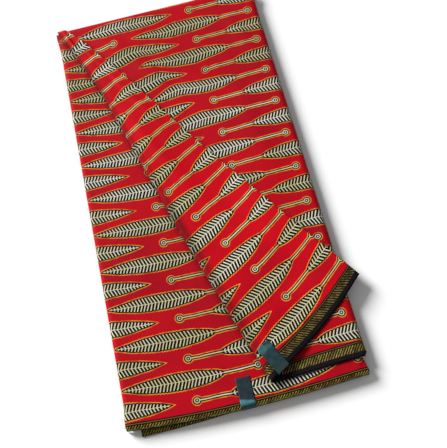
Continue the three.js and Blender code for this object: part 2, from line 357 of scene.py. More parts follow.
@dataclass(frozen=True)
class WaxPrintCotton:
    """Crisp cotton with a leaf and berry print on red, a hatched border and a plain dark selvedge."""

    ground: Colour = colour(197, 1, 23)
    ground_deep: Colour = colour(172, 2, 24)
    outline: Colour = colour(240, 156, 52)
    outline_deep: Colour = colour(206, 96, 22)
    dark: Colour = colour(6, 6, 3)
    cream: Colour = colour(232, 227, 206)
    cream_deep: Colour = colour(208, 200, 154)
    hatch: Colour = colour(226, 206, 96)
    hatch_deep: Colour = colour(148, 122, 60)
    border_ground: Colour = colour(25, 21, 11)
    selvedge: Colour = colour(22, 13, 28)
    shadow: Colour = (0.004, 0.002, 0.003, 1.0)
    selvedge_width: float = 0.0070
    border_width: float = 0.0200
    row_pitch: float = 0.026
    repeat: float = 0.196
    wander: float = 0.0016
    wander_cells: Tuple[float, float] = (55.0, 48.0)
    wander_shift: float = 3.0
    stalk_length: float = 0.043
    stalk_radius: float = 0.0033
    stalk_end: float = 0.006
    berry_radius: float = 0.0062
    leaf_start: float = 0.046
    leaf_length: float = 0.134
    leaf_half_width: float = 0.0124
    leaf_powers: Tuple[float, float] = (0.62, 0.8)
    leaf_trim: float = 0.0003
    tooth: float = 0.00035
    vein_pitch: float = 0.0043
    vein_slant: float = 0.42
    vein_share: float = 0.18
    vein_softness: float = 0.08
    line: float = 0.0011
    ink: float = 0.0016
    core: float = 0.00070
    pip: float = 1.4
    ring: float = 1.5
    fineness: float = 0.35
    red_mottle: Mottle = Mottle(9.0, 0.5, 0.5, 3.0)
    yellow_mottle: Mottle = Mottle(90.0, 0.55, 0.3)
    wax_mottle: Mottle = Mottle(7.0, 0.5, 0.35)
    wax_shift: float = 2.0
    hatch_pitch: float = 0.0035
    hatch_slant: float = 0.7
    hatch_sway: float = 0.0012
    hatch_sway_cells: float = 160.0
    hatch_share: float = 0.21
    hatch_softness: float = 0.12
    hatch_least: float = 0.40
    hatch_breaks: Mottle = Mottle(620.0, 0.44, 0.22)
    hatch_break_length: float = 0.004
    hatch_fading: Mottle = Mottle(120.0, 0.52, 0.30)
    print_softness: float = 0.0004
    selvedge_softness: float = 0.0006
    rule_lines: float = 3.4
    stripe_lines: float = 1.7
    stripe_half_lines: float = 0.40
    stripe_show: float = 0.6
    specks: Mottle = Mottle(900.0, 0.68, 0.10)
    speck_show: float = 0.30
    thread: float = 0.00042
    painted_thread_shade_and_slub: float = 0.16
    thread_softness: float = 1.2
    slub_cells: float = 900.0
    slub_stretch: float = 0.25
    crumple_cells: float = 70.0
    crumple_detail: float = 4.0
    # Painted shade in crevices: the occlusion node's reach and its samples.
    painted_crevice_shade_reach: float = 0.009
    painted_crevice_shade_samples: int = 8
    roughness: float = 0.58
    roughness_spread: float = 0.16
    specular: float = 0.06
    sheen: float = 0.01
    sheen_roughness: float = 0.4
    relief_shares: Tuple[float, float] = (0.25, 0.2)
    relief_depth: float = 0.00035
    relief_strength: float = 0.55

    def leaf_edge(self, place: Signal, off: Signal) -> Signal:
        """Work out how far outside the leaf's edge a point lies, negative inside.

        Args:
            place: How far along the repeat.
            off: How far from the row's middle line.

        Returns:
            The distance in metres.
        """
        share = ((place - self.leaf_start) / self.leaf_length).held()
        rise, fall = self.leaf_powers
        peak = rise / (rise + fall)
        height = peak ** rise * (1.0 - peak) ** fall
        half = (share ** rise) * ((1.0 - share) ** fall) * (self.leaf_half_width / height)
        teeth = (place * (2.0 * math.pi / self.vein_pitch)).wave() * self.tooth
        jagged = half + teeth * (half * (1.0 / self.leaf_half_width))
        past_tip = (place - (self.leaf_start + self.leaf_length)).most(0.0)
        before_base = (self.leaf_start - place).most(0.0)
        return abs(off) - jagged + past_tip + before_base + self.leaf_trim

    def stalk_edge(self, place: Signal, off: Signal) -> Signal:
        """Work out how far outside the stalk a point lies, negative inside.

        Args:
            place: How far along the repeat.
            off: How far from the row's middle line.

        Returns:
            The distance in metres.
        """
        half = self.stalk_length / 2.0
        past = (abs(place - (self.leaf_start + self.stalk_end - half)) - half).most(0.0)
        return (past * past + off * off) ** 0.5 - self.stalk_radius

    def berry_edge(self, place: Signal, off: Signal) -> Signal:
        """Work out how far outside the round berry at the stalk's end a point lies, negative inside."""
        past = place - (self.leaf_start + self.stalk_end - self.stalk_length)
        return (past * past + off * off) ** 0.5 - self.berry_radius

    def dress(self) -> bpy.types.Material:
        """Build the material.

        Returns:
            The finished material.
        """
        wiring = Wiring("wax_print_cotton")
        along, inward = wiring.cloth_places()
        along_cells, inward_cells = self.wander_cells
        printed_along = along + (wiring.noise(along, inward, along_cells) - 0.5) * self.wander
        shifted = wiring.noise(inward + self.wander_shift, along, inward_cells)
        printed_in = inward + (shifted - 0.5) * self.wander

        row_place = (printed_in - self.border_width) / self.row_pitch
        row = row_place.floor()
        off = (row_place - row - 0.5) * self.row_pitch
        odd = (row * 0.5).part() * 2.0
        raw = (printed_along / self.repeat + odd * 0.5).part() * self.repeat
        place = raw + odd * (self.repeat - raw * 2.0)

        leaf = self.leaf_edge(place, off)
        stalk = self.stalk_edge(place, off)
        berry = self.berry_edge(place, off)
        figure = leaf.least(stalk).least(berry)
        fine = self.line * self.fineness
        painted = 1.0 - figure.edge(0.0, fine)
        inked = 1.0 - figure.edge(-self.line, fine)
        slant = (place - abs(off) * self.vein_slant) / self.vein_pitch
        vein = 1.0 - abs(slant.part() - 0.5).edge(self.vein_share, self.vein_softness)
        rib = 1.0 - abs(off).edge(fine, fine)
        inside_leaf = 1.0 - leaf.edge(-self.line - self.ink, fine)
        inside_berry = 1.0 - berry.edge(-self.line - self.ink, fine)
        pip = 1.0 - berry.edge(self.core * self.pip - self.berry_radius, fine)
        core = (1.0 - stalk.edge(self.core - self.stalk_radius, fine)) * (1.0 - inside_berry)
        ring = inside_berry * berry.edge(-self.line - self.ink - self.core * self.ring, fine)
        waxed = (vein.most(rib) * inside_leaf).most(core * (1.0 - inside_leaf)).most(ring).most(pip)

        red = wiring.blend(self.red_mottle.over(wiring, along, inward), self.ground, self.ground_deep)
        yellow = wiring.blend(self.yellow_mottle.over(wiring, along, inward), self.outline, self.outline_deep)
        waxy = self.wax_mottle.over(wiring, along + self.wax_shift, inward)
        wax = wiring.blend(waxy, self.cream, self.cream_deep)
        body = wiring.blend(painted, red, yellow)
        body = wiring.blend(inked, body, self.dark)
        body = wiring.blend(waxed, body, wax)

        border = self.border(wiring, along, inward)
        past_border = printed_in.edge(self.border_width, self.print_softness)
        cloth = wiring.blend(past_border, border, body)
        self.finish(wiring, cloth, along, inward)
        return wiring.material

    def border(self, wiring: Wiring, along: Signal, inward: Signal) -> bpy.types.NodeSocket:
        """Draw the hatched border and the plain selvedge outside it.

        Args:
            wiring: The material's nodes.
            along: Place along the cloth.
            inward: Place in from the selvedge.

        Returns:
            The border's colour.
        """
        sway = (wiring.noise(along, inward, self.hatch_sway_cells) - 0.5) * self.hatch_sway
        slanted = (along - inward * self.hatch_slant + sway) / self.hatch_pitch
        stroke = 1.0 - abs(slanted.part() - 0.5).edge(self.hatch_share, self.hatch_softness)
        broken = self.hatch_breaks.over(wiring, slanted * self.hatch_break_length, inward)
        yarn = wiring.blend(self.hatch_fading.over(wiring, along, inward), self.hatch, self.hatch_deep)
        show = self.hatch_least + broken * (1.0 - self.hatch_least)
        ink = wiring.blend(stroke * show, self.border_ground, yarn)
        rule = inward.edge(self.border_width - self.rule_lines * self.line, self.print_softness)
        ink = wiring.blend(rule, ink, self.dark)
        from_stripe = abs(inward - (self.border_width - self.stripe_lines * self.line))
        stripe = 1.0 - from_stripe.edge(self.stripe_half_lines * self.line, self.print_softness)
        ink = wiring.blend(stripe * self.stripe_show, ink, self.hatch_deep)
        in_hatch = inward.edge(self.selvedge_width, self.selvedge_softness)
        specked = self.specks.over(wiring, along, inward) * self.speck_show
        plain = wiring.blend(specked, self.selvedge, self.hatch_deep)
        return wiring.blend(in_hatch, plain, ink)

    def finish(self, wiring: Wiring, cloth: bpy.types.NodeSocket, along: Signal, inward: Signal) -> None:
        """Give the printed colour its weave, painted shade in its crevices and from the shade layer, and its
        soft crumpling.

        Args:
            wiring: The material's nodes.
            cloth: The printed colour.
            along: Place along the cloth.
            inward: Place in from the selvedge.
        """
        turn = math.pi / self.thread
        weave = (along * turn).wave() * (inward * turn).wave() * 0.5 + 0.5
        slub = wiring.noise(along * self.slub_stretch, inward, self.slub_cells)
        crumple = wiring.noise(along, inward, self.crumple_cells, self.crumple_detail)
        between_threads = (weave * 0.5 + slub * 0.5).edge(0.5, self.thread_softness)
        # Darkened towards black between the threads, painted shade in the weave's gaps, and unevenly with the
        # yarn's slubs.
        shaded = wiring.blend(between_threads * self.painted_thread_shade_and_slub, cloth, (0.0, 0.0, 0.0, 1.0))
        # Painted shade: an occlusion node darkens the colour in crevices, and the shade layer darkens it
        # where each piece lays it.
        settings = {"samples": self.painted_crevice_shade_samples, "only_local": False}
        open_sky = wiring.signal("ShaderNodeAmbientOcclusion", settings, {"Distance": self.painted_crevice_shade_reach}, "AO")
        shade = wiring.signal("ShaderNodeAttribute", {"attribute_name": SHADE_LAYER}, {}, "Fac")
        shaded = wiring.blend(1.0 - open_sky, shaded, self.shadow)
        shaded = wiring.blend(shade, shaded, self.shadow)
        height = weave * self.relief_shares[0] + slub * self.relief_shares[1] + crumple
        wiring.feed(wiring.shader, {
            "Base Color": shaded,
            "Roughness": self.roughness + crumple * self.roughness_spread,
            "Normal": wiring.relief(height, self.relief_depth, self.relief_strength),
            "Specular IOR Level": self.specular,
            "Sheen Weight": self.sheen,
            "Sheen Roughness": self.sheen_roughness,
        })


@dataclass(frozen=True)
class SatinTape:
    """Smooth teal satin ribbon with fine ribs across it, a painted highlight along one stretch, and a dark
    seal.
    """

    name: str
    highlight_from: float
    highlight_to: float
    highlight_share: float
    lean: float
    highlight_least: float = 0.4
    seal_place: Tuple[float, float] = (0.0, 0.1)
    seal_radius: float = 0.0046
    seal_softness: float = 0.0009
    base: Colour = colour(10, 28, 37)
    light: Colour = colour(17, 43, 52)
    painted_highlight: Colour = colour(80, 142, 152)
    deep: Colour = colour(10, 52, 54)
    seal: Colour = colour(46, 42, 41)
    rib: float = 0.0007
    rib_show: float = 0.2
    cloud_cells: float = 160.0
    cloud_detail: float = 3.0
    cloud_edge: Tuple[float, float] = (0.55, 0.35)
    cloud_show: float = 0.7
    fade: float = 0.003
    deep_at: float = -0.008
    deep_fade: float = 0.014
    deep_show: float = 0.7
    roughness: float = 0.42
    roughness_spread: float = 0.14
    specular: float = 0.28
    sheen: float = 0.01
    relief_depth: float = 0.00012
    relief_strength: float = 0.5

    def dress(self) -> bpy.types.Material:
        """Build the material.

        Returns:
            The finished material.
        """
        wiring = Wiring(self.name)
        along, inward = wiring.cloth_places()
        ribs = (inward * (math.pi / self.rib)).wave() * 0.5 + 0.5
        cloudy = wiring.noise(along, inward, self.cloud_cells, self.cloud_detail)
        leant = inward + along * self.lean
        highlighted = leant.edge(self.highlight_from, self.fade) * (1.0 - inward.edge(self.highlight_to, self.fade))
        lightened = cloudy.edge(*self.cloud_edge) * self.cloud_show + ribs * self.rib_show
        tint = wiring.blend(lightened, self.base, self.light)
        # Painted highlight: a lighter teal laid along one stretch of the ribbon, as a glint on the satin.
        tint = wiring.blend(highlighted * (self.highlight_least + cloudy) * self.highlight_share, tint, self.painted_highlight)
        tint = wiring.blend(inward.edge(self.deep_at, self.deep_fade) * self.deep_show, tint, self.deep)
        aside, ahead = along - self.seal_place[0], inward - self.seal_place[1]
        sealed = 1.0 - ((aside * aside + ahead * ahead) ** 0.5).edge(self.seal_radius, self.seal_softness)
        tint = wiring.blend(sealed, tint, self.seal)
        roughness = self.roughness + cloudy * self.roughness_spread - highlighted * self.roughness_spread
        wiring.feed(wiring.shader, {
            "Base Color": tint,
            "Roughness": roughness,
            "Normal": wiring.relief(ribs + cloudy, self.relief_depth, self.relief_strength),
            "Specular IOR Level": self.specular,
            "Sheen Weight": self.sheen,
        })
        return wiring.material


def stand(name: str, shape: bmesh.types.BMesh, material: bpy.types.Material) -> bpy.types.Object:
    """Put a finished shape into the scene.

    Args:
        name: The object's name.
        shape: The shape, which is freed.
        material: Its finish.

    Returns:
        The object.
    """
    mesh = bpy.data.meshes.new(name)
    shape.to_mesh(mesh)
    shape.free()
    mesh.materials.append(material)
    placed = bpy.data.objects.new(name, mesh)
    bpy.context.scene.collection.objects.link(placed)
    return placed


# ---- The packet that every layer is laid to ----
@dataclass(frozen=True)
class Crease:
    """A soft ridge or trough that runs straight across the packet, fading out at both ends."""

    x: float
    y: float
    heading: float
    length: float
    width: float
    lift: float
    fade_from: float = 0.15

    def height(self, x: float, y: float) -> float:
        """Work out its height over a place of the packet.

        Args:
            x: Across the packet.
            y: Along the packet.

        Returns:
            The height, negative in a trough.
        """
        turn = math.radians(self.heading)
        ahead = (x - self.x) * math.cos(turn) + (y - self.y) * math.sin(turn)
        aside = (y - self.y) * math.cos(turn) - (x - self.x) * math.sin(turn)
        fade = 1.0 - ease(abs(ahead), self.fade_from * self.length, 0.5 * self.length)
        return self.lift * fade * math.exp(-((aside / self.width) ** 2))


# Creases that the whole packet shares, as (x, y, heading in degrees, length, width, lift).
PACKET_CREASES = (
    Crease(-0.060, 0.120, 88.0, 0.260, 0.030, 0.0010),
    Crease(0.075, -0.040, 84.0, 0.300, 0.036, 0.0012),
    Crease(-0.015, -0.170, 8.0, 0.240, 0.022, 0.0007),
    Crease(0.030, 0.190, -6.0, 0.200, 0.024, 0.0009),
    Crease(-0.100, -0.080, 97.0, 0.220, 0.018, 0.0007),
    Crease(0.110, -0.190, 70.0, 0.160, 0.020, 0.0008),
)

# Creases of the top panel alone, the first ones pulled out from the apex of its turned corner.
TOP_CREASES = (
    Crease(-0.045, 0.215, -52.0, 0.170, 0.011, 0.0020),
    Crease(-0.010, 0.235, -45.0, 0.150, 0.013, 0.0013),
    Crease(0.095, 0.060, -82.0, 0.190, 0.015, 0.0009),
    Crease(0.110, 0.215, -70.0, 0.120, 0.012, 0.0010),
)

# How far the print is pulled along the cloth beside the turned corner, where it was drawn on the bias.
TOP_PULLS = (
    Crease(-0.048, 0.170, -60.0, 0.300, 0.013, 0.0040),
    Crease(-0.014, 0.185, -60.0, 0.280, 0.014, -0.0042),
    Crease(0.026, 0.205, -62.0, 0.220, 0.014, 0.0018),
)

# Creases of the turned corner alone, fanning out from its apex over the panel.
FLAP_CREASES = (
    Crease(-0.040, 0.060, -62.0, 0.240, 0.009, 0.0013),
    Crease(-0.055, 0.150, -58.0, 0.160, 0.006, 0.0012),
    Crease(0.040, -0.080, -50.0, 0.200, 0.014, 0.0016),
    Crease(0.095, -0.120, -41.0, 0.130, 0.010, 0.0011),
    Crease(0.060, -0.190, 28.0, 0.120, 0.011, 0.0009),
)

# Sharp little pleats where the turned corner gathers at its apex.
APEX_PLEATS = (
    Crease(-0.127, 0.268, -72.0, 0.075, 0.0024, 0.0016),
    Crease(-0.119, 0.262, -60.0, 0.085, 0.0022, -0.0012),
    Crease(-0.113, 0.266, -52.0, 0.070, 0.0024, 0.0015),
    Crease(-0.104, 0.240, -61.0, 0.090, 0.0034, 0.0011),
    Crease(-0.088, 0.205, -64.0, 0.100, 0.0040, -0.0009),
)


def swell(creases: Sequence[Crease], x: float, y: float) -> float:
    """Add up the heights of several creases at one place."""
    return sum(crease.height(x, y) for crease in creases)


@dataclass(frozen=True)
class Packet:
    """The outline and the heights that every layer of the packet is laid to."""

    half_width: float = 0.145
    right_at_back: float = 0.141
    right_at_front: float = 0.146
    back_y: float = 0.292
    front_centre_y: float = -0.2905
    front_bow: float = 0.0075
    front_bow_right: float = 0.0056
    wall: float = 0.0012
    gap: float = 0.0003
    stack_height: float = 0.0126
    roll_centre_z: float = 0.0078
    full_turn: float = math.radians(80.0)
    end_turn: float = math.radians(12.0)
    end_fade: float = 0.045
    end_droop: float = 0.007
    end_softness: float = 5.0
    solid_back_gap: float = 0.0008

    @property
    def under_z(self) -> float:
        """Height of the under panel."""
        return self.stack_height + self.gap + self.wall / 2.0

    @property
    def top_z(self) -> float:
        """Height of the top panel."""
        return self.under_z + self.wall + self.gap

    @property
    def under_radius(self) -> float:
        """Radius that the under panel rolls over the edges with."""
        return self.under_z - self.roll_centre_z

    @property
    def top_radius(self) -> float:
        """Radius that the top panel rolls over the edges with."""
        return self.top_z - self.roll_centre_z

    def share(self, y: float) -> float:
        """Share of the way from the mid-fold end to the selvedge end."""
        return (self.back_y - y) / (self.back_y - self.front_centre_y)

    def side_turn(self, y: float) -> float:
        """How far round a side roll turns: fully along the packet, less at its two ends."""
        inside = min(self.back_y - y, y - self.front_centre_y)
        return lerp(self.end_turn, self.full_turn, ease(inside, 0.0, self.end_fade))

    def end_drop(self, y: float) -> float:
        """How far the panels droop towards the mid-fold end."""
        return max(0.0, y - (self.back_y - self.end_droop)) ** 2 / (self.end_softness * self.end_droop)

    def right_edge(self, y: float) -> float:
        """Where the right folds lie."""
        return lerp(self.right_at_back, self.right_at_front, self.share(y))

    def front_roll_y(self, x: float) -> float:
        """Where the cloth starts to roll down over the front."""
        bow = self.front_bow if x < 0.0 else self.front_bow_right
        return self.front_centre_y + bow * (x / self.half_width) ** 2

    def place(self) -> Vector:
        """Read the place of the packet's own origin from the tape on its middle line and the back edge.

        Returns:
            The origin's place in the frame.
        """
        tape_low, tape_high = (Vector(corner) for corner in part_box("front_tape"))
        _, under_high = (Vector(corner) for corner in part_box("under_panel"))
        x = (tape_low.x + tape_high.x) / 2.0 - FrontTape.middle_across
        return Vector((x, under_high.y - self.back_y + self.solid_back_gap, 0.0))


@dataclass
class LaidCloth:
    """A stretch of cloth: a grid of threads, laid point by point and given its thickness."""

    packet: Packet
    name: str = "cloth"
    thickness: float = 0.00062
    # Painted shade: an even darkening of the cloth, which pieces leave off where they should read more
    # brightly lit.
    painted_shade: float = 0.16

    def columns(self) -> Sequence[object]:
        """Where the threads that run along the cloth lie."""
        raise NotImplementedError

    def rows(self) -> Steps:
        """Where the threads that run across the cloth lie."""
        raise NotImplementedError

    def lay(self, column: object, row: float) -> Tuple[Vector, Tuple[float, float]]:
        """Lay one point of the cloth: its place in the packet's frame, and its place on the cloth map."""
        raise NotImplementedError

    def shade(self, column: object, row: float) -> float:
        """How much painted shade darkens the cloth there."""
        return self.painted_shade

    def build(self, material: bpy.types.Material) -> bpy.types.Object:
        """Weave the grid, lay it and dress it.

        Args:
            material: The cloth's finish.

        Returns:
            The finished piece.
        """
        columns, rows = self.columns(), self.rows()
        wide, deep = len(columns) - 1, len(rows) - 1
        origin = self.packet.place()
        threads = bmesh.new()
        bmesh.ops.create_grid(threads, x_segments=wide, y_segments=deep, size=0.5)
        cloth_map = threads.loops.layers.uv.new(CLOTH_MAP)
        shade_layer = threads.verts.layers.float.new(SHADE_LAYER)
        printed = {}
        for crossing in threads.verts:
            column = columns[round((crossing.co.x + 0.5) * wide)]
            row = rows[round((0.5 - crossing.co.y) * deep)]
            point, printed[crossing] = self.lay(column, row)
            crossing.co = point + origin
            crossing[shade_layer] = self.shade(column, row)
        for patch in threads.faces:
            patch.smooth = True
            for loop in patch.loops:
                loop[cloth_map].uv = printed[loop.vert]
        piece = stand(self.name, threads, material)
        ply = piece.modifiers.new("plies", "SOLIDIFY")
        ply.thickness = self.thickness
        ply.offset = 0.0
        ply.use_even_offset = False
        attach(piece, "root")
        return piece


@dataclass
class UnderPanel(LaidCloth):
    """The last panel but one. Its edges roll down over the sides and the front of the stack."""

    name: str = "under_cloth"
    apron: float = 0.0142
    right_run: float = 0.0072
    corner_flare: float = 0.45
    corner_rows: Tuple[float, float] = (0.94, 1.02)
    left_edge_gap: float = 0.0006
    back_gap: float = 0.001
    hanging_z: float = 0.004
    # Rows over which the painted shade is lifted, painting the front roll lighter.
    painted_shade_lift_rows: Tuple[float, float] = (0.97, 1.05)
    print_offset: Tuple[float, float] = (0.262, 0.0045)
    cut_length: float = 0.597
    across_stops: Tuple[float, ...] = (0.0, 1.0, 2.0, 3.0)
    across_counts: Tuple[int, ...] = (9, 110, 7)
    along_stops: Tuple[float, ...] = (0.0, 0.02, 1.0, 2.0, 3.0)
    along_counts: Tuple[int, ...] = (8, 190, 14, 5)

    @property
    def left_roll_x(self) -> float:
        """Where the panel starts to roll down at the left."""
        return -self.packet.half_width + self.packet.under_radius + self.left_edge_gap

    def right_roll_x(self, along: float) -> float:
        """Where the panel starts to roll down at the right."""
        edge = self.packet.right_edge(self.packet.back_y - self.back_gap - along)
        return edge - self.packet.top_radius - self.packet.wall / 2.0

    def flat_length(self, across: float) -> float:
        """Length from the mid-fold to where the panel starts to roll down over the front."""
        x = limit(across, -self.packet.half_width, self.packet.half_width)
        return self.packet.back_y - self.back_gap - self.packet.front_roll_y(x)

    def point(self, across: float, along: float) -> Vector:
        """Place a point of the panel.

        Args:
            across: From the packet's middle.
            along: From the mid-fold.

        Returns:
            Its place in the packet's frame.
        """
        packet = self.packet
        level_y = packet.back_y - self.back_gap - along
        turn = packet.side_turn(level_y)
        left_out, left_down = bend(self.left_roll_x - across, packet.under_radius, turn)
        right_x = self.right_roll_x(along)
        right_out, right_down = bend(across - right_x, packet.under_radius, turn)
        x = across
        if left_out > 0.0:
            x = self.left_roll_x - left_out
        if right_out > 0.0:
            x = right_x + right_out
        front_y = packet.front_roll_y(x)
        front_out, front_down = bend(front_y - level_y, packet.under_radius, math.pi / 2.0)
        y = front_y - front_out if front_out > 0.0 else level_y
        z = packet.under_z - left_down - right_down - front_down - packet.end_drop(y)
        return Vector((x, y, z + swell(PACKET_CREASES, x, y) * self.flatness(z)))

    def flatness(self, z: float) -> float:
        """How fully a point takes part in the packet's creases, less where it hangs low."""
        return ease(z, self.hanging_z, self.packet.under_z)

    def columns(self) -> Steps:
        """Over the left roll (0 to 1), the flat (1 to 2) and the right roll (2 to 3)."""
        return stepped(self.across_stops, self.across_counts)

    def rows(self) -> Steps:
        """Along the flat (0 to 1), the front roll (1 to 2) and the hanging edge (2 to 3)."""
        return stepped(self.along_stops, self.along_counts)

    def lay(self, column: float, row: float) -> Tuple[Vector, Tuple[float, float]]:
        """Lay one point of the panel.

        Args:
            column: The point's column, from the left roll to the right one.
            row: The point's row, from the mid-fold to the hanging edge.

        Returns:
            Its place in the packet's frame, and its place on the cloth map.
        """
        arc = self.packet.under_radius * math.pi / 2.0
        right = self.right_roll_x(min(row, 1.0) * self.flat_length(0.0))
        if column < 1.0:
            across = self.left_roll_x - self.packet.under_radius * self.packet.full_turn * (1.0 - column)
        elif column < 2.0:
            across = lerp(self.left_roll_x, right, column - 1.0)
        else:
            flare = 1.0 + self.corner_flare * ease(row, *self.corner_rows)
            across = right + self.right_run * flare * (column - 2.0)
        flat = self.flat_length(across)
        along = flat * min(row, 1.0) + arc * limit(row - 1.0) + (self.apron - arc) * limit(row - 2.0)
        aside, inward = self.print_offset
        return self.point(across, along), (across + aside, flat + self.apron - along + inward)

    def shade(self, column: float, row: float) -> float:
        """How much painted shade darkens the cloth, lifted where the front roll shows its border so that it
        reads lighter there.
        """
        return self.painted_shade * (1.0 - ease(row, *self.painted_shade_lift_rows))


@dataclass
class TopPanel(LaidCloth):
    """The top panel with its free front corner turned back over it, in one continuous cloth."""

    name: str = "top_cloth"
    left_x: float = -0.148
    skew: float = math.radians(1.0)
    length: float = 0.572
    width_to_roll: float = 0.2822
    roll_length: float = 0.010
    fold_start: float = 0.011
    fold_end: float = 0.1718
    gather: float = 0.029
    flap_reach: float = 0.160
    settle: float = 0.085
    warp_reach: float = 0.130
    corner_droop: float = 0.0016
    droop_reach: Tuple[float, float] = (0.008, 0.034)
    back_gap: float = 0.0005
    back_press: float = 0.12
    level_drop: float = 0.006
    crease_reach: Tuple[float, float] = (0.006, 0.030)
    pleat_reach: Tuple[float, float] = (0.001, 0.005)
    corner_cut: float = 0.55
    cut_rows: float = 0.0055
    draw_back: float = 0.0065
    draw_from: float = 0.6
    print_start: float = 0.010
    # Painted shade round the turned fold's roll, uneven along it.
    roll_shade: float = 0.62
    roll_shade_from: float = 0.90
    roll_shade_swing: float = 0.25
    roll_shade_waves: Tuple[float, float] = (31.0, 12.0)
    roll_shade_start: float = 1.0
    border_shade: float = 0.52
    flap_border_shade: float = 0.70
    border_rows: Tuple[float, float] = (0.020, 0.016)
    across_stops: Tuple[float, ...] = (0.0, 1.0, 2.0, 3.0, 4.0)
    across_counts: Tuple[int, ...] = (64, 16, 84, 9)
    apex_length: float = 0.02
    along_counts: Tuple[int, ...] = (12, 200)
    fold_bow: Tuple[Tuple[float, float], ...] = (
        (0.00, -0.0065), (0.09, -0.0010), (0.20, 0.0030), (0.42, 0.0005),
        (0.62, -0.0024), (0.80, -0.0016), (1.00, 0.0006),
    )
    fold_roll: Tuple[Tuple[float, float], ...] = (
        (0.00, 0.0016), (0.20, 0.0026), (0.55, 0.0042), (1.00, 0.0036),
    )

    @property
    def fold_slope(self) -> float:
        """How far the turned fold moves across the panel for each metre along it."""
        return (self.fold_end - self.fold_start) / self.length

    @property
    def fold_angle(self) -> float:
        """Angle between the turned fold and the panel's length."""
        return math.atan(self.fold_slope)

    @property
    def fold_length(self) -> float:
        """Length of the turned fold."""
        return self.length / math.cos(self.fold_angle)

    def turn_over(self, past: float, radius: float) -> Tuple[float, float, float]:
        """Take cloth past the turned fold round its roll and back over itself.

        Args:
            past: How far past the fold the cloth reaches, negative before it.
            radius: The roll's radius there.

        Returns:
            How far aside it goes, how high it lifts, and how fully it has turned over.
        """
        run = past + radius
        arc = math.pi * radius
        if run <= 0.0:
            return past, 0.0, 0.0
        if run <= arc:
            turn = run / radius
            over = ease(turn, math.pi / 2.0, math.pi)
            return radius * (math.sin(turn) - 1.0), radius * (1.0 - math.cos(turn)), over
        beyond = run - arc
        rest = self.packet.wall + self.packet.gap
        return -radius - beyond, rest + (2.0 * radius - rest) * (1.0 - ease(beyond, 0.0, self.settle)), 1.0

    def point(self, across: float, along: float) -> Vector:
        """Place a point of the panel.

        Args:
            across: From its cut end.
            along: From the mid-fold.

        Returns:
            Its place in the packet's frame.
        """
        packet = self.packet
        lean_cos, lean_sin = math.cos(self.fold_angle), math.sin(self.fold_angle)
        past = (self.fold_start + along * self.fold_slope - across) * lean_cos
        down = (across - self.fold_start) * lean_sin + along * lean_cos
        aside, lift, over = self.turn_over(past, read_table(self.fold_roll, down / self.fold_length))
        overlap = max(0.0, -aside)
        gathered = down * (1.0 - over * self.gather * min(1.0, overlap / self.flap_reach) ** 3)
        fade = max(0.0, 1.0 - overlap / self.warp_reach) ** 2
        shift = read_table(self.fold_bow, gathered / self.fold_length)

        sideways = self.fold_start + gathered * lean_sin - aside * lean_cos
        forward = gathered * lean_cos + aside * lean_sin
        y = packet.back_y + sideways * math.sin(self.skew) - forward * math.cos(self.skew)
        level = packet.back_y - self.back_gap
        y = min(y, level + (y - level) * self.back_press)
        run = 0.0 if over > 0.0 else sideways - self.width_to_roll
        out, roll_down = bend(run, packet.top_radius, packet.side_turn(y))
        reach = self.width_to_roll + out if out > 0.0 else sideways
        x = self.left_x + reach * math.cos(self.skew) + forward * math.sin(self.skew) + shift * fade
        tip = ease(reach, self.width_to_roll + self.droop_reach[0], self.width_to_roll + self.droop_reach[1])
        z = packet.top_z + lift - roll_down - packet.end_drop(y) - over * self.corner_droop * tip
        return Vector((x, y, z + self.creased(x, y, overlap, over, roll_down)))

    def creased(self, x: float, y: float, overlap: float, over: float, roll_down: float) -> float:
        """Add up the creases at a place of the panel.

        Args:
            x: Across the packet.
            y: Along the packet.
            overlap: How far back over the panel the turned corner reaches there.
            over: How fully the cloth has turned over.
            roll_down: How far it has rolled down at the right.

        Returns:
            The height that they add.
        """
        level = 1.0 - ease(roll_down, 0.0, self.level_drop)
        shared = swell(PACKET_CREASES, x, y) + swell(TOP_CREASES, x, y)
        own = swell(FLAP_CREASES, x, y) * over * ease(overlap, *self.crease_reach)
        pleats = swell(APEX_PLEATS, x, y) * over * ease(overlap, *self.pleat_reach)
        return shared * level + own + pleats

    def columns(self) -> Steps:
        """On the flap (0 to 1), round its roll (1 to 2), on to the right (2 to 3) and down (3 to 4)."""
        return stepped(self.across_stops, self.across_counts)

    def rows(self) -> Steps:
        """From the mid-fold to the selvedge, closer together where the apex gathers."""
        return stepped((0.0, self.apex_length, self.length), self.along_counts)

    def lay(self, column: float, row: float) -> Tuple[Vector, Tuple[float, float]]:
        """Lay one point of the panel, its columns following the turned fold.

        Args:
            column: The point's column, from the cut end to the right edge.
            row: The point's row, from the mid-fold to the selvedge.

        Returns:
            Its place in the packet's frame, and its place on the cloth map.
        """
        fold = self.fold_start + row * self.fold_slope
        radius = read_table(self.fold_roll, row / self.length) / math.cos(self.fold_angle)
        roll_from = fold - (math.pi - 1.0) * radius
        roll_to = fold + radius
        if column < 1.0:
            across = roll_from * column
        elif column < 2.0:
            across = lerp(roll_from, roll_to, column - 1.0)
        elif column < 3.0:
            across = lerp(roll_to, self.width_to_roll, column - 2.0)
        else:
            cut = 1.0 - self.corner_cut * ease(row, self.length - self.cut_rows, self.length)
            across = self.width_to_roll + self.roll_length * cut * (column - 3.0)
        drawn_in = ease(across, self.draw_from * self.width_to_roll, self.width_to_roll)
        point = self.point(across, row * (1.0 - self.draw_back * drawn_in))
        inward = self.length - row + swell(TOP_PULLS, point.x, point.y)
        return point, (across + self.print_start, inward)

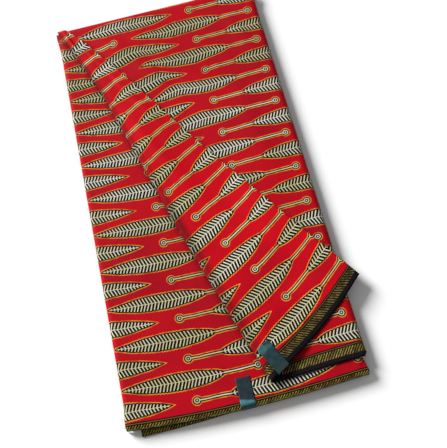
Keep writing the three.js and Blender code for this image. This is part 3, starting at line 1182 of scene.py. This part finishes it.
    def shade(self, column: float, row: float) -> float:
        """Work out how much painted shade darkens the cloth: least on the turned corner, and most round its
        roll; the borders are darkened further.

        Args:
            column: The point's column, from the cut end to the right edge.
            row: The point's row, from the mid-fold to the selvedge.

        Returns:
            The share of shadow over its colour.
        """
        quick, slow = self.roll_shade_waves
        swing = self.roll_shade_swing
        waves = math.sin(row * quick) * math.sin(row * slow + self.roll_shade_start)
        uneven = 1.0 - swing + swing * waves
        bordered = ease(row, self.length - self.border_rows[0], self.length - self.border_rows[1])
        if column < 1.0:
            beside_roll = self.roll_shade * uneven * ease(column, self.roll_shade_from, 1.0)
            return max(beside_roll, self.flap_border_shade * bordered)
        if column < 2.0:
            return self.roll_shade * uneven
        return self.painted_shade + (self.border_shade - self.painted_shade) * bordered


@dataclass(frozen=True)
class Group:
    """A few hidden layers that lie together: their insets from the packet's outline."""

    left_back: float
    left_front: float
    right: float
    front_left: float
    front_right: float
    back: float


@dataclass
class FoldedStack(LaidCloth):
    """The hidden panels, one cloth that runs to and fro, with its folds at the sides."""

    name: str = "stack_cloth"
    thickness: float = 0.0006
    leaves: int = 17
    seed: int = 11
    cut_length: float = 0.58
    cut_per_leaf: float = 0.282
    group_height: float = 0.0021
    belly_height: float = 0.005
    belly_depth: float = 0.0045
    cover_margin: float = 0.0006
    loose_fold: float = 0.0009
    sway: float = 0.0007
    sway_waves: Tuple[float, float] = (14.0, 22.0)
    sway_start: float = 40.0
    uneven_front: float = 0.0012
    uneven_waves: Tuple[float, float] = (0.6, 23.0)
    uneven_back: float = 0.0010
    back_gap: float = 0.0048
    print_length: float = 0.585
    print_offset: float = 0.0068
    crease_from_z: float = 0.001
    share_stops: Tuple[float, ...] = (0.0, 0.02, 0.06, 0.14, 0.28, 0.42, 0.58, 0.72, 0.86, 0.94, 0.98)
    turn_count: int = 6
    along_stops: Tuple[float, ...] = (0.0, 0.01, 0.96, 1.0)
    along_counts: Tuple[int, ...] = (2, 56, 5)
    groups: Tuple[Group, ...] = (
        Group(0.0020, 0.0125, 0.0000, -0.0110, 0.0120, 0.0020),
        Group(0.0000, 0.0006, 0.0004, 0.0004, 0.0002, 0.0000),
        Group(0.0008, 0.0000, 0.0000, 0.0000, 0.0012, 0.0009),
        Group(0.0002, 0.0009, 0.0010, 0.0014, 0.0000, 0.0002),
        Group(0.0004, 0.0000, 0.0002, 0.0000, 0.0006, 0.0010),
        Group(0.0000, 0.0003, 0.0000, 0.0002, 0.0000, 0.0004),
    )
    jitter: Tuple[Tuple[float, float, float, float], ...] = field(init=False)

    def __post_init__(self) -> None:
        """Draw how unevenly each layer lies: at its left, right, front and back."""
        draw = random.Random(self.seed)
        self.jitter = tuple(
            (draw.random(), draw.random(), draw.random(), draw.random()) for _ in range(self.leaves + 1)
        )

    @property
    def pitch(self) -> float:
        """Height from one layer to the next."""
        return self.packet.stack_height / self.leaves

    def leaf_z(self, leaf: int) -> float:
        """Height of a layer's middle."""
        return (leaf + 0.5) * self.pitch

    def reach(self, z: float) -> float:
        """Work out how far a layer reaches past the start of the rolls, less where the panels round over it.

        Args:
            z: The layer's height.

        Returns:
            The reach in metres.
        """
        top = self.packet.stack_height - self.packet.roll_centre_z
        above = max(0.0, z - self.packet.roll_centre_z)
        return math.sqrt(max(0.0, top ** 2 - above ** 2))

    def belly(self, z: float) -> float:
        """How far the lowest layers draw in under the packet."""
        under = max(0.0, 1.0 - z / self.belly_height)
        return self.belly_depth * (1.0 - math.sqrt(1.0 - under ** 2))

    def group(self, leaf: int) -> Group:
        """The group that a layer belongs to."""
        index = int(self.leaf_z(leaf) / self.group_height)
        return self.groups[min(index, len(self.groups) - 1)]

    def inset(self, leaf: int, rightwards: bool, share: float) -> float:
        """How far in from the packet's side a layer's fold lies.

        Args:
            leaf: The layer.
            rightwards: Whether the right side is meant.
            share: Share of the way from the mid-fold end to the selvedge end.

        Returns:
            The inset in metres.
        """
        z = self.leaf_z(leaf)
        group = self.group(leaf)
        radius = self.packet.top_radius if rightwards else self.packet.under_radius
        covered = z > self.packet.roll_centre_z + self.cover_margin
        rounded = radius + self.packet.wall / 2.0 - self.reach(z) if covered else self.belly(z)
        own = group.right if rightwards else lerp(group.left_back, group.left_front, share)
        return rounded + own

    def fold_x(self, leaf: int, rightwards: bool, y: float) -> float:
        """Work out where the fold between a layer and the next one lies across the packet.

        Args:
            leaf: The layer under the fold.
            rightwards: Whether the fold is at the right.
            y: Along the packet.

        Returns:
            Its place across the packet.
        """
        share = self.packet.share(y)
        following = min(leaf + 1, self.leaves - 1)
        inset = max(self.inset(leaf, rightwards, share), self.inset(following, rightwards, share))
        loose = self.jitter[leaf][1 if rightwards else 0]
        slow, quick = self.sway_waves
        swayed = 0.5 + 0.5 * math.sin(y * (slow + quick * loose) + self.sway_start * loose)
        inset += self.loose_fold * loose + self.sway * swayed
        return self.packet.right_edge(y) - inset if rightwards else inset - self.packet.half_width

    def leaf_y(self, leaf: int, x: float, row: float) -> float:
        """Work out where a row of a layer lies along the packet.

        Args:
            leaf: The layer.
            x: Across the packet.
            row: Share of the way from the mid-fold to the selvedge.

        Returns:
            Its place along the packet.
        """
        packet = self.packet
        z = self.leaf_z(leaf)
        group = self.group(leaf)
        side = limit((x + packet.half_width) / (2.0 * packet.half_width))
        _, _, loose_front, loose_back = self.jitter[leaf]
        height, waves = self.uneven_waves
        uneven = self.uneven_front * loose_front * (1.0 + height * math.sin(x * waves + leaf))
        inset = lerp(group.front_left, group.front_right, side) + uneven
        front = packet.front_roll_y(x) - self.reach(z) + inset
        inset = group.back + self.uneven_back * loose_back + self.belly(z)
        back = packet.back_y - self.back_gap + self.reach(z) - inset
        return lerp(back, front, row)

    def columns(self) -> List[Tuple[int, float, float]]:
        """Follow the cloth's way to and fro.

        Returns:
            Each step, as (layer, share of the way across, share of the turn after it).
        """
        turn = steps(0.0, 1.0, self.turn_count)[:-1]
        way = []
        for leaf in range(self.leaves):
            way.extend((leaf, share, 0.0) for share in self.share_stops)
            way.extend((leaf, 1.0, share) for share in turn)
        return way[: 1 - len(turn)]

    def rows(self) -> Steps:
        """Shares of the way from the mid-fold to the selvedge."""
        return stepped(self.along_stops, self.along_counts)

    def lay(self, column: Tuple[int, float, float], row: float) -> Tuple[Vector, Tuple[float, float]]:
        """Lay one point of the stack.

        Args:
            column: The point's step on the cloth's way to and fro.
            row: Share of the way from the mid-fold to the selvedge.

        Returns:
            Its place in the packet's frame, and its place on the cloth map.
        """
        leaf, share, turn = column
        rightwards = leaf % 2 == 0
        level_y = lerp(self.packet.back_y, self.packet.front_centre_y, row)
        radius = self.pitch / 2.0
        start = self.fold_x(max(leaf - 1, 0), not rightwards, level_y)
        end = self.fold_x(leaf, rightwards, level_y)
        inward = -radius if rightwards else radius
        x = lerp(start - inward, end + inward, share)
        y = self.leaf_y(leaf, x, row)
        z = self.leaf_z(leaf)
        if turn > 0.0:
            angle = math.pi * turn
            x -= inward * math.sin(angle)
            y = lerp(y, self.leaf_y(leaf + 1, x, row), turn)
            z += radius * (1.0 - math.cos(angle))
        z += swell(PACKET_CREASES, x, y) * ease(z, self.crease_from_z, self.packet.stack_height) ** 2
        panel = self.packet.right_at_back + self.packet.half_width
        printed = (leaf + share) * panel + turn * math.pi * radius
        return Vector((x, y, z)), (printed, (1.0 - row) * self.print_length + self.print_offset)


@dataclass
class TapeTab(LaidCloth):
    """A short ribbon that lies on a panel, runs to its selvedge and turns round it."""

    thickness: float = 0.00045
    panel: Optional[LaidCloth] = None
    face: Face = Face.PRINTED
    middle_across: float = 0.0
    edge: float = 0.0
    length: float = 0.040
    width: float = 0.018
    wrap: float = 0.5
    lean: float = 0.0
    clearance: float = 0.00012
    probe: float = 0.001
    across_count: int = 14
    along_counts: Tuple[int, ...] = (44, 10)

    @property
    def off(self) -> float:
        """Height of the tape's middle over the middle of the cloth that it lies on."""
        return self.panel.thickness / 2.0 + self.clearance + self.thickness / 2.0

    def columns(self) -> Steps:
        """Across the tape."""
        return steps(-self.width / 2.0, self.width / 2.0, self.across_count)

    def rows(self) -> Steps:
        """Along the tape, with what is wrapped round the edge at its end."""
        wrapped = self.edge + self.wrap * math.pi * self.off
        return stepped((self.edge - self.length, self.edge, wrapped), self.along_counts)

    def lay(self, column: float, row: float) -> Tuple[Vector, Tuple[float, float]]:
        """Lay one point of the tape on its panel.

        Args:
            column: From the tape's middle line.
            row: Along its panel, and then round the panel's edge.

        Returns:
            Its place in the packet's frame, and its place on the cloth map.
        """
        across = self.middle_across + column + self.lean * (row - self.edge + self.length)
        along = min(row, self.edge)
        here = self.panel.point(across, along)
        before = self.panel.point(across, along - self.probe)
        left, right = (self.panel.point(across + step, along) for step in (-self.probe, self.probe))
        ahead = (here - before).normalized()
        aside = (right - left).normalized()
        normal = ahead.cross(aside) * self.face.value
        turn = max(0.0, row - self.edge) / self.off
        point = here + normal * (self.off * math.cos(turn)) + ahead * (self.off * math.sin(turn))
        return point, (column, row - self.edge)


@dataclass
class FrontTape(TapeTab):
    """The tab at the middle of the front border, over the front roll."""

    name: str = "front_ribbon"
    length: float = 0.044
    middle_across: float = 0.001
    wrap: float = 0.12


@dataclass
class FlapTape(TapeTab):
    """The tab on the selvedge of the turned corner, wrapped round it."""

    name: str = "flap_ribbon"
    face: Face = Face.TURNED
    middle_across: float = 0.1428
    length: float = 0.0385
    wrap: float = 0.8
    lean: float = 0.11


# ---- The studio ----
@dataclass(frozen=True)
class Studio:
    """A plain pale floor, soft light from the upper left, and the camera."""

    key_side: Tuple[float, float, float] = (-0.66, 0.75, 0.0)
    key_elevation: float = math.radians(28.5)
    key_breadth: float = math.radians(24.0)
    key_strength: float = 5.9
    sky_strength: float = 0.31
    floor_half: float = 40.0
    floor_shade: Colour = (0.86, 0.86, 0.86, 1.0)
    floor_roughness: float = 0.9
    floor_specular: float = 0.1
    sky: Colour = (1.0, 1.0, 1.0, 1.0)
    elevation: float = math.radians(66.0)
    roll: float = math.radians(13.7615)
    distance: float = 1.13397
    focus: Tuple[float, float, float] = (0.022785, -0.061927, 0.0144)
    focal_pixels: float = 887.91
    image_pixels: float = 448.0
    sensor: float = 36.0

    def floor(self) -> None:
        """Lay the floor."""
        surface = bmesh.new()
        bmesh.ops.create_grid(surface, x_segments=1, y_segments=1, size=self.floor_half)
        wiring = Wiring("pale_floor")
        wiring.feed(wiring.shader, {
            "Base Color": self.floor_shade,
            "Roughness": self.floor_roughness,
            "Specular IOR Level": self.floor_specular,
        })
        stand("floor", surface, wiring.material)

    def lights(self) -> None:
        """Hang one broad soft light and set the sky."""
        lamp = bpy.data.lights.new("key_light", "SUN")
        lamp.energy = self.key_strength
        lamp.angle = self.key_breadth
        from_above = Vector((0.0, 0.0, math.tan(self.key_elevation)))
        light = bpy.data.objects.new("key_light", lamp)
        light.matrix_world = (Vector(self.key_side) + from_above).to_track_quat("Z", "Y").to_matrix().to_4x4()
        bpy.context.scene.collection.objects.link(light)
        world = bpy.data.worlds.new("studio_sky")
        world.use_nodes = True
        backdrop = world.node_tree.nodes["Background"]
        backdrop.inputs["Color"].default_value = self.sky
        backdrop.inputs["Strength"].default_value = self.sky_strength
        bpy.context.scene.world = world
        bpy.context.scene.view_settings.view_transform = "Standard"

    def camera(self, origin: Vector) -> None:
        """Stand the camera over the selvedge end, rolled to the frame.

        Args:
            origin: Place of the packet's own origin.
        """
        back = Vector((0.0, -math.cos(self.elevation), math.sin(self.elevation)))
        right = Vector((1.0, 0.0, 0.0))
        up = back.cross(right)
        rolled_right = right * math.cos(self.roll) - up * math.sin(self.roll)
        rolled_up = right * math.sin(self.roll) + up * math.cos(self.roll)
        stand = Matrix((rolled_right, rolled_up, back)).transposed().to_4x4()
        stand.translation = Vector(self.focus) + origin + back * self.distance
        lens = bpy.data.cameras.new("camera")
        lens.sensor_width = self.sensor
        lens.lens = self.focal_pixels / self.image_pixels * self.sensor
        camera = bpy.data.objects.new("camera", lens)
        camera.matrix_world = stand
        bpy.context.scene.collection.objects.link(camera)
        bpy.context.scene.camera = camera


def declare(piece: bpy.types.Object, node: str) -> None:
    """Hide the solid that a piece stands for, and log which piece stands for it.

    Args:
        piece: The finished piece.
        node: The solid that it replaces.
    """
    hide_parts(node)
    LOG.info("%s stands for %s", piece.name, node)


def main() -> None:
    """Lay the packet from the bottom up, then set up the studio."""
    logging.basicConfig(level=logging.INFO, format="%(message)s")
    packet = Packet()
    cotton = WaxPrintCotton().dress()
    front_satin = SatinTape("front_satin", highlight_from=-0.0160, highlight_to=-0.0105, highlight_share=0.78, lean=-0.25)
    flap_satin = SatinTape(
        "flap_satin", highlight_from=-0.037, highlight_to=-0.029, highlight_share=0.32, lean=0.6,
        seal_place=(-0.001, -0.0005), base=colour(11, 36, 41), light=colour(22, 62, 65),
    )

    stack = FoldedStack(packet)
    under = UnderPanel(packet)
    top = TopPanel(packet)
    front = FrontTape(packet, panel=under)
    front.edge = under.flat_length(front.middle_across) + under.apron
    flap = FlapTape(packet, panel=top, edge=top.length)

    declare(stack.build(cotton), "cloth_stack")
    declare(under.build(cotton), "under_panel")
    declare(top.build(cotton), "top_panel")
    declare(front.build(front_satin.dress()), "front_tape")
    declare(flap.build(flap_satin.dress()), "flap_tape")

    studio = Studio()
    studio.floor()
    studio.lights()
    studio.camera(packet.place())


if __name__ == "__main__":
    main()
